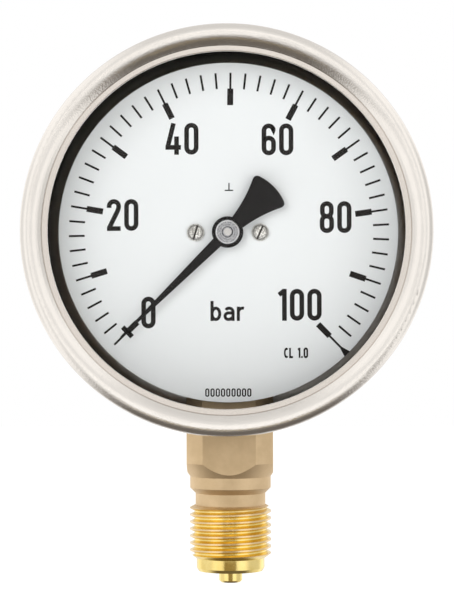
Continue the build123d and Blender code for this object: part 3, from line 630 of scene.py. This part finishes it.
FLOOR_Z = -0.16
FLOOR_HALF = 4.0
floor_paint = painted("floor_paint", (0.30, 0.30, 0.30), 0.8, peel=30.0)
floor_paint.set("Emission Color", WHITE)
floor_paint.set("Emission Strength", 0.97)
floor_corners = [(x * FLOOR_HALF, y * FLOOR_HALF, FLOOR_Z) for x, y in ((-1, -1), (1, -1), (1, 1), (-1, 1))]
floor = add_stage_plane("floor", floor_corners, floor_paint)
floor.visible_glossy = False

# a dark card in front of the stem and lower, hidden from the camera and mirrored in the polished metal
CARD_HALF, CARD_Y, CARD_LOW, CARD_HIGH = 0.07, -0.19, -0.05, -0.006
card_corners = [
    (-CARD_HALF, CARD_Y, CARD_LOW),
    (CARD_HALF, CARD_Y, CARD_LOW),
    (CARD_HALF, CARD_Y, CARD_HIGH),
    (-CARD_HALF, CARD_Y, CARD_HIGH),
]
card = add_stage_plane("card", card_corners, painted("card_cloth", (0.40, 0.31, 0.16), 0.9, peel=300.0))
card.visible_camera = card.visible_diffuse = card.visible_shadow = card.visible_transmission = False


def studio_sky(sky):
    """The light that the metal mirrors, by direction: white walls, brighter and dimmer in places."""
    direction = sky.node("ShaderNodeTexCoord").outputs["Generated"]
    parts = sky.split(direction)
    sideways = sky.math("ABSOLUTE", parts["X"])
    ahead = sky.times(parts["Y"], -1.0)
    # everything but the space below and in front is lit
    lit_above = sky.smooth(parts["Z"], -0.72, -0.18)
    lit_side = sky.smooth(sky.add(sideways, sky.times(parts["Z"], 0.6)), 0.0, 0.45)
    lit_behind = sky.smooth(parts["Y"], 0.30, 0.70)
    lit = sky.math("MAXIMUM", sky.math("MAXIMUM", lit_above, lit_side), lit_behind)
    # a bright panel behind the camera, one to each side, a dimmer ceiling and right end
    panel = sky.times(sky.smooth(ahead, 0.87, 0.95), sky.smooth(sideways, 0.08, 0.22, 1.0, 0.0))
    wings = sky.times(sky.smooth(sideways, 0.36, 0.55), sky.smooth(sideways, 0.80, 0.96, 1.0, 0.0))
    ceiling = sky.smooth(parts["Z"], 0.62, 0.85)
    level = sky.add(sky.times(panel, 0.42), 0.95)
    level = sky.add(level, sky.times(wings, 0.27))
    level = sky.math("SUBTRACT", level, sky.times(ceiling, 0.11))
    level = sky.times(level, sky.smooth(parts["X"], 0.72, 0.95, 1.0, 0.80))
    # the dark camera itself
    toward_camera = tuple((CAMERA_PLACE - CENTRE).normalized())
    facing = sky.vector("DOT_PRODUCT", direction, toward_camera)
    level = sky.times(level, sky.smooth(facing, 0.9972, 0.9996, 1.0, 0.25))
    colour = sky.mix(lit, (0.17, 0.15, 0.13), (1.0, 0.98, 0.955))
    return sky.scaled(colour, sky.mix_value(lit, 1.0, level))


MATT_SHARE = 0.12            # of the sky's light that falls on matt surfaces; lamps give the rest
world = bpy.data.worlds.new("studio")
bpy.context.scene.world = world
world.use_nodes = True
sky = Graph(world.node_tree)
ray = sky.node("ShaderNodeLightPath").outputs
dimmed = sky.scaled(studio_sky(sky), sky.smooth(ray["Is Diffuse Ray"], 0.0, 1.0, 1.0, MATT_SHARE))
shown = sky.mix(ray["Is Camera Ray"], dimmed, WHITE)
backdrop = sky.node("ShaderNodeBackground", {"Color": shown, "Strength": 1.0})
sky.node("ShaderNodeOutputWorld", {"Surface": backdrop.outputs[0]})


def soft_light(name, place, size, power, colour=WHITE):
    """A round lamp that faces the dial and isn't mirrored in the metal or glass."""
    data = bpy.data.lights.new(name, "AREA")
    data.shape, data.size, data.energy, data.color = "DISK", size, power, colour
    lamp = place_in_scene(bpy.data.objects.new(name, data))
    lamp.location = place
    lamp.rotation_euler = (CENTRE - Vector(place)).to_track_quat("-Z", "Y").to_euler()
    lamp.visible_glossy = lamp.visible_transmission = False


soft_light("key", (-0.35, -1.00, 0.42), size=0.7, power=4.2)
soft_light("fill", (0.55, -0.95, 0.05), size=0.8, power=2.9, colour=(1.0, 0.98, 0.95))
soft_light("front", (0.0, -1.20, 0.05), size=0.8, power=3.2)
soft_light("overhead", (0.0, 0.25, 1.0), size=0.8, power=4.0)

camera_data = bpy.data.cameras.new("camera")
camera_data.sensor_width = 36.0
camera_data.lens = CAMERA_LENS
camera_data.clip_start = 0.01
camera = place_in_scene(bpy.data.objects.new("camera", camera_data))
camera.location = CAMERA_PLACE
camera.rotation_euler = [math.radians(angle) for angle in CAMERA_TURN_DEG]
bpy.context.scene.camera = camera

view = bpy.context.scene.view_settings
view.view_transform = "Standard"
view.look = "None"
view.exposure = 0.0
view.gamma = 1.0
